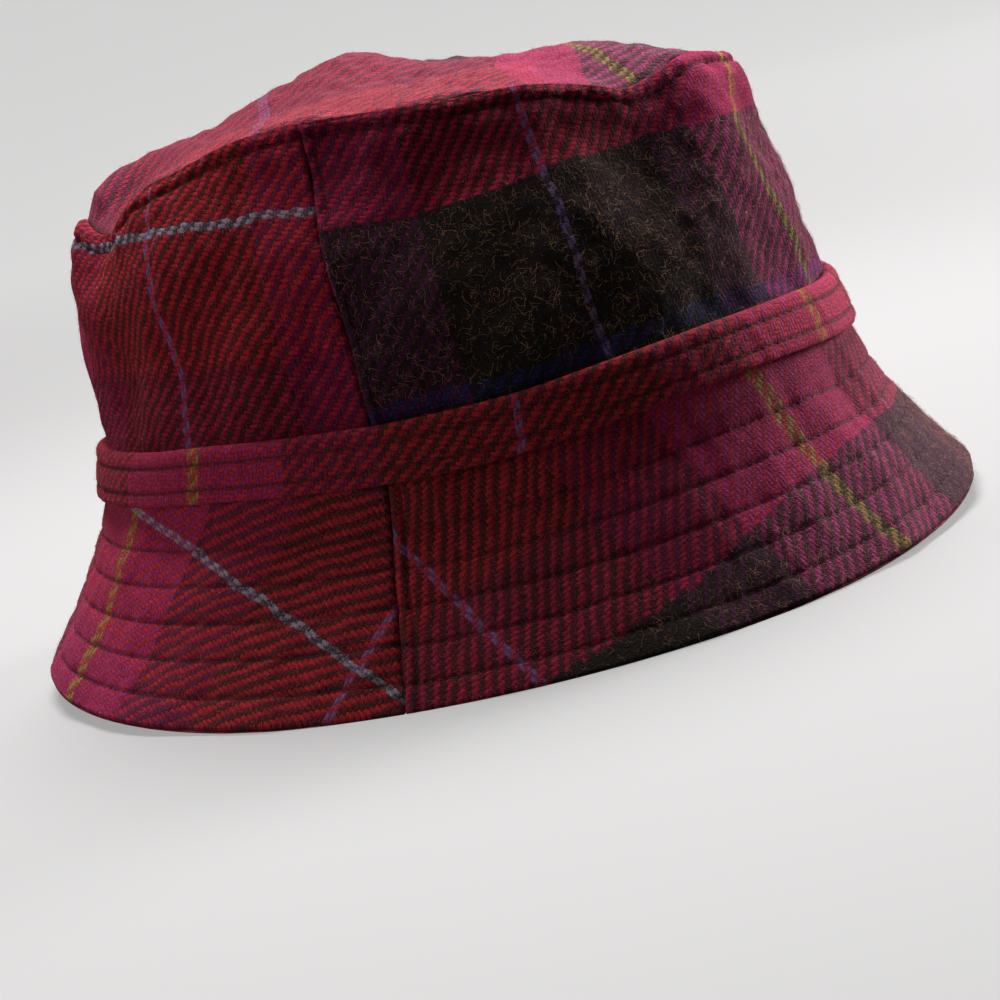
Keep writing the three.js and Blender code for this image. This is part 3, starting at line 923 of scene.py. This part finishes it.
# two-over-two twill in the hat's plaid
def makeTweedWeave():
    tree, given, result = newGroup(
        "tweedWeave",
        {"Across": 0.0, "Along": 0.0, "Across Shift": 0.0, "Along Shift": 0.0, "Crease": 0.0, "Nap": 0.5},
        {"Color": "NodeSocketColor", "Height": "NodeSocketFloat"})

    def times(*values):
        return calc(tree, "MULTIPLY", *values)

    def plus(*values):
        return calc(tree, "ADD", *values)

    def scaled(value, gain, offset):
        return calc(tree, "MULTIPLY_ADD", value, gain, offset)

    def fromMiddle(value):
        return calc(tree, "ABSOLUTE", scaled(value, 2.0, -1.0))

    place = addNode(tree, "ShaderNodeCombineXYZ", {0: given["Across"], 1: given["Along"]}).outputs[0]
    noises = [addNode(tree, "ShaderNodeSeparateColor", {0: noiseAt(tree, place, scale)["Color"]}).outputs
              for _, scale in twill["wobbles"]]

    def yarnPlace(value, channel, pitch):
        slow, quick = (times(calc(tree, "SUBTRACT", noise[channel], 0.5), reach * 2)
                       for noise, (reach, _) in zip(noises, twill["wobbles"]))
        return calc(tree, "DIVIDE", plus(value, plus(slow, quick)), pitch)

    warpPitch, pickPitch = sett["warpPitch"], sett["pickPitch"]
    warpPlace, pickPlace = yarnPlace(given["Across"], 0, warpPitch), yarnPlace(given["Along"], 1, pickPitch)
    warpIndex, pickIndex = calc(tree, "FLOOR", warpPlace), calc(tree, "FLOOR", pickPlace)
    inWarp, inPick = calc(tree, "FRACT", warpPlace), calc(tree, "FRACT", pickPlace)
    step = calc(tree, "FLOORED_MODULO", calc(tree, "SUBTRACT", pickIndex, warpIndex), 4.0)
    warpOnTop = calc(tree, "LESS_THAN", step, 1.5)

    # a float runs over two yarns: round across, dipping at both ends, and spun of two plies
    def floatHeight(acrossYarn, alongYarn, secondHalf):
        run = times(plus(alongYarn, secondHalf), 0.5)
        endDip = calc(tree, "POWER", fromMiddle(run), 3.0)
        side = calc(tree, "POWER", fromMiddle(acrossYarn), 2.0)
        body = calc(tree, "SQRT", calc(tree, "SUBTRACT", 1.0, side, clamp=True))
        twist = calc(tree, "FRACT", plus(times(run, twill["plies"]), acrossYarn))
        body = times(body, scaled(fromMiddle(twist), -twill["plyDepth"], 1.0))
        return times(body, scaled(endDip, -twill["endDip"], 1.0))

    warpHeight = floatHeight(inWarp, inPick, calc(tree, "GREATER_THAN", step, 0.5))
    weftHeight = floatHeight(inPick, inWarp, calc(tree, "LESS_THAN", step, 2.5))
    height = mixOf(tree, "FLOAT", warpOnTop, weftHeight, warpHeight)

    def stripesOf(index, pitch, shift, stripes):
        return stripeRamp(tree, plus(times(plus(index, 0.5), pitch), given[shift]), stripes)

    warp = stripesOf(warpIndex, warpPitch, "Across Shift", sett["warp"])
    weft = stripesOf(pickIndex, pickPitch, "Along Shift", sett["weft"])

    def yarnLightness(index, offset):
        chance = addNode(tree, "ShaderNodeTexWhiteNoise", noise_dimensions="1D")
        feed(tree, chance, {"W": plus(index, offset)})
        return scaled(chance.outputs["Value"], twill["yarnSpread"], 1 - twill["yarnSpread"] / 2)

    shade = mixOf(tree, "FLOAT", warpOnTop, yarnLightness(pickIndex, 311.71), yarnLightness(warpIndex, 0.37))
    colour = mixOf(tree, "RGBA", warpOnTop, weft["Color"], warp["Color"])

    # brushed surface: neighbouring yarns blur into each other, and single fibres catch the light
    other = mixOf(tree, "RGBA", warpOnTop, warp["Color"], weft["Color"])
    blend, mottle, fibres, fuzz = (noiseAt(tree, place, *twill[key + "Noise"])["Fac"]
                                   for key in ("blend", "mottle", "fibre", "fuzz"))
    blend = rangeOf(tree, blend, 0.4, 0.75, *twill["blend"])
    colour = mixOf(tree, "RGBA", blend, colour, other)
    mottle = rangeOf(tree, mottle, 0.3, 0.72, *twill["mottle"])
    # painted shade: the colour darkens where the weave lies low, between the yarns
    cavityShade = scaled(height, 1 - twill["cavityShade"], twill["cavityShade"])
    colour = mixOf(tree, "RGBA", 1.0, colour, times(cavityShade, times(mottle, shade)), "MULTIPLY")
    fibres = calc(tree, "ABSOLUTE", calc(tree, "SUBTRACT", fibres, 0.5))
    fibreLine = rangeOf(tree, fibres, 0.0, twill["fibreWidth"], 1.0, 0.0)
    fibreLine = times(fibreLine, times(weft["Alpha"], given["Nap"]))
    colour = mixOf(tree, "RGBA", fibreLine, colour, solidColour(sett["golden"]))
    # painted shade: the colour darkens along creases, seams and stitched grooves
    groove = scaled(given["Crease"], -twill["creaseShade"], 1.0)
    feed(tree, result, {
        "Color": mixOf(tree, "RGBA", 1.0, colour, groove, "MULTIPLY"),
        "Height": plus(height, times(fuzz, twill["fuzz"]))})
    return tree


def newMaterial(name):
    material = bpy.data.materials.new(name)
    material.use_nodes = True
    return material, material.node_tree, material.node_tree.nodes["Principled BSDF"]


def makeTweed(name, weave, look):
    material, tree, shader = newMaterial(name)
    layers = (addNode(tree, "ShaderNodeUVMap", uv_map=layer) for layer in ("cloth", "stripeShift"))
    place, shift = (addNode(tree, "ShaderNodeSeparateXYZ", {0: layer.outputs[0]}).outputs for layer in layers)
    crease = addNode(tree, "ShaderNodeAttribute", attribute_name="crease")
    group = addNode(tree, "ShaderNodeGroup", {
        "Across": place[0], "Along": place[1], "Across Shift": shift[0], "Along Shift": shift[1],
        "Crease": crease.outputs["Fac"], "Nap": look["nap"]}, node_tree=weave)
    bump = addNode(tree, "ShaderNodeBump", {
        "Strength": look["bump"], "Distance": 0.35 * mm, "Height": group.outputs["Height"]})
    feed(tree, shader, {
        "Base Color": group.outputs["Color"], "Normal": bump.outputs[0], "Roughness": 0.95,
        "Specular IOR Level": look["gloss"], "Sheen Weight": look["sheen"], "Sheen Roughness": 0.45,
        "Sheen Tint": solidColour(look["sheenTint"])})
    return material


def makeThread(name):
    material, tree, shader = newMaterial(name)
    place = addNode(tree, "ShaderNodeTexCoord").outputs["Object"]
    twist = noiseAt(tree, place, stitch["twistScale"])["Fac"]
    shades = (solidColour(stitch["colour"], gain) for gain in stitch["shades"])
    feed(tree, shader, {
        "Base Color": mixOf(tree, "RGBA", twist, *shades), "Roughness": 0.7, "Specular IOR Level": 0.3})
    return material


def makeFibre(name):
    material, tree, shader = newMaterial(name)
    tint = addNode(tree, "ShaderNodeAttribute", attribute_name="tint")
    feed(tree, shader, {
        "Base Color": tint.outputs["Color"], "Roughness": 0.75, "Specular IOR Level": 0.25,
        "Sheen Weight": 0.2})
    return material


tweedLooks = {
    "crownTweed": {"nap": 0.14, "gloss": 0.12, "bump": 0.75, "sheen": 0.05, "sheenTint": (220, 80, 105)},
    "tipTweed": {"nap": 0.2, "gloss": 0.28, "bump": 0.9, "sheen": 0.12, "sheenTint": (235, 90, 125)},
    "bandTweed": {"nap": 0.2, "gloss": 0.22, "bump": 0.75, "sheen": 0.18, "sheenTint": (225, 80, 110)},
    "brimTweed": {"nap": 0.2, "gloss": 0.22, "bump": 0.75, "sheen": 0.07, "sheenTint": (220, 80, 110)},
    "facingTweed": {"nap": 0.2, "gloss": 0.22, "bump": 0.5, "sheen": 0.1, "sheenTint": (220, 80, 110)},
}
weave = makeTweedWeave()
tweeds = {name: makeTweed(name, weave, look) for name, look in tweedLooks.items()}
thread = makeThread("topstitchThread")
fibre = makeFibre("woolFibre")
print("materials ready")

# piece, builder, which half, cloth, slot, node
clothPieces = [
    ("brim_front", buildBrimHalf, [frontHalf], "brimTweed", "brim_tweed", "brim_front"),
    ("brim_back", buildBrimHalf, [backHalf], "brimTweed", "brim_tweed", "brim_back"),
    ("facing_front", buildFacing, [frontHalf], "facingTweed", "facing_cloth", "under_brim_front"),
    ("facing_back", buildFacing, [backHalf], "facingTweed", "facing_cloth", "under_brim_back"),
    ("crown_front", buildCrownHalf, [frontHalf], "crownTweed", "crown_tweed", "crown_front"),
    ("crown_back", buildCrownHalf, [backHalf], "crownTweed", "crown_tweed", "crown_back"),
    ("crown_tip", buildCrownTip, [], "tipTweed", "crown_tweed", "crown_tip"),
    ("band", buildBand, [], "bandTweed", "band_tweed", "band"),
]
parts = {}
for pieceName, build, half, tweed, slotName, node in clothPieces:
    piece, part = build(pieceName + "_cloth", tweeds[tweed], *half)
    placePiece(piece, slotName, node)
    parts[pieceName] = {**part, "slot": slotName}
    print(pieceName, "ready")

stitchPieces = [
    ("brim_front", brimStitchLines), ("brim_back", brimStitchLines), ("crown_front", crownStitchLines),
    ("crown_back", crownStitchLines), ("band", bandStitchLines),
]
for pieceName, linesOf in stitchPieces:
    part = parts[pieceName]
    placePiece(buildStitches(pieceName + "_topstitch", linesOf(part), thread), part["slot"])
print("topstitch ready")

# piece, long stray fibres, short nap, how much the long ones keep to the olive yarn
fibrePieces = [
    ("crown_front", 6800, 5200, 0.85), ("crown_back", 700, 5200, 0.5), ("crown_tip", 500, 6500, 0.2),
    ("band", 260, 3200, 0.0), ("brim_front", 2600, 5200, 0.8), ("brim_back", 500, 5200, 0.3),
]
for count, (pieceName, strays, naps, keep) in enumerate(fibrePieces):
    part = parts[pieceName]
    stray = buildFibres(pieceName + "_stray_wool", part, "stray", strays, 100 + count, fibre, keep)
    placePiece(stray, part["slot"])
    placePiece(buildFibres(pieceName + "_nap", part, "nap", naps, 200 + count, fibre), part["slot"])
print("wool fibres ready")

studio = {
    "columns": 96, "bendRows": 16, "level": 0.6,
    "floorRadius": 1.5, "wallRadius": 2.3, "wallHeight": 1.9,
    "paper": (112, 111, 111),                        # what of the lamps' light shows on it
    "paperThrownBack": (94, 93, 93),                 # how pale it is for the light it throws on the hat
    "glow": [(0.2, 0.335), (0.6, 0.2), (1.6, 0.49)],  # distance from the hat, painted glow of the paper there, seen only by the camera
    "worldLight": 0.09,
    # place, size and power of each lamp
    "lamps": {"overhead": ((0.48, 0.05, 1.45), 1.1, 66), "frontSide": ((1.02, -1.15, 0.42), 0.6, 41),
              "backSide": ((-0.85, 1.15, 0.5), 0.8, 7.5)},
    "lampAim": (0, 0, 0.08),
    # camera low at the wearer's right, turned a little so that the hat tips forward
    "azimuth": -73.75, "elevation": 12.03, "roll": 14.32, "distance": 0.7, "lens": 95.8,
    "target": (0.0, -0.0031, 0.02115),
}


# a pale bowl of paper: level in the middle and curving up all round
def buildBackdrop():
    turn = np.linspace(0, 2 * np.pi, studio["columns"], endpoint=False)
    curve = np.radians(np.linspace(0, 90, studio["bendRows"]))
    floorRadius, wallRadius = studio["floorRadius"], studio["wallRadius"]
    rise = wallRadius - floorRadius
    radii = np.concatenate([[0.001, studio["level"]], floorRadius + rise * np.sin(curve), [wallRadius]])
    heights = np.concatenate([[0, 0], rise * (1 - np.cos(curve)), [studio["wallHeight"]]])
    points = np.stack([radii[:, None] * np.cos(turn), radii[:, None] * np.sin(turn),
                       heights[:, None] + 0 * turn], axis=-1)
    index = np.arange(points[..., 0].size).reshape(points.shape[:2])
    turned = np.roll(index, -1, axis=1)
    faces = quadFaces(index[:-1], turned[:-1], turned[1:], index[1:]).tolist() + [index[0, ::-1].tolist()]
    material, tree, shader = newMaterial("paleStudioPaper")
    seen = addNode(tree, "ShaderNodeLightPath").outputs["Is Camera Ray"]
    fromHat = addNode(tree, "ShaderNodeVectorMath", operation="LENGTH")
    feed(tree, fromHat, {0: addNode(tree, "ShaderNodeTexCoord").outputs["Object"]})
    away = fromHat.outputs["Value"]
    (closeTo, closeGlow), (near, nearGlow), (far, farGlow) = studio["glow"]
    # painted light: the paper glows for the camera alone, least at middle distance, more near the hat and
    # most far off
    glow = calc(tree, "ADD", rangeOf(tree, away, closeTo, near, closeGlow, nearGlow),
                rangeOf(tree, away, near, far, 0.0, farGlow - nearGlow))
    thrownBack, paper = (solidColour(studio[key]) for key in ("paperThrownBack", "paper"))
    feed(tree, shader, {
        "Base Color": mixOf(tree, "RGBA", seen, thrownBack, paper),
        "Emission Color": (1.0, 0.995, 0.99, 1.0), "Emission Strength": calc(tree, "MULTIPLY", glow, seen),
        "Roughness": 0.95, "Specular IOR Level": 0.1})
    newObject("paper_backdrop", points, faces, material)


def addToScene(name, data, matrix):
    thing = bpy.data.objects.new(name, data)
    bpy.context.scene.collection.objects.link(thing)
    thing.matrix_world = matrix
    return thing


def addLamp(name, place, size, power):
    light = bpy.data.lights.new(name, "AREA")
    light.shape = "DISK"
    light.size = size
    light.energy = power
    aim = (Vector(studio["lampAim"]) - Vector(place)).to_track_quat("-Z", "Y")
    addToScene(name, light, Matrix.Translation(place) @ aim.to_matrix().to_4x4())


def addCamera():
    azimuth, elevation, roll = (math.radians(studio[key]) for key in ("azimuth", "elevation", "roll"))
    level = math.cos(elevation)
    back = Vector((math.sin(azimuth) * level, -math.cos(azimuth) * level, math.sin(elevation)))
    right = Vector((math.cos(azimuth), math.sin(azimuth), 0))
    up = back.cross(right)
    rolledRight = math.cos(roll) * right - math.sin(roll) * up
    rolledUp = math.sin(roll) * right + math.cos(roll) * up
    camera = bpy.data.cameras.new("camera")
    camera.lens = studio["lens"]
    camera.sensor_width = 36
    camera.clip_start = 0.05
    place = Vector(studio["target"]) + back * studio["distance"]
    turned = Matrix((rolledRight, rolledUp, back)).transposed().to_4x4()
    bpy.context.scene.camera = addToScene("camera", camera, Matrix.Translation(place) @ turned)


buildBackdrop()
for lampName, (place, size, power) in studio["lamps"].items():
    addLamp(lampName, place, size, power)
addCamera()
world = bpy.data.worlds.new("softRoom")
world.use_nodes = True
feed(world.node_tree, world.node_tree.nodes["Background"], {
    "Color": (1.0, 1.0, 1.0, 1.0), "Strength": studio["worldLight"]})
bpy.context.scene.world = world
bpy.context.scene.view_settings.view_transform = "Standard"
print("studio ready")
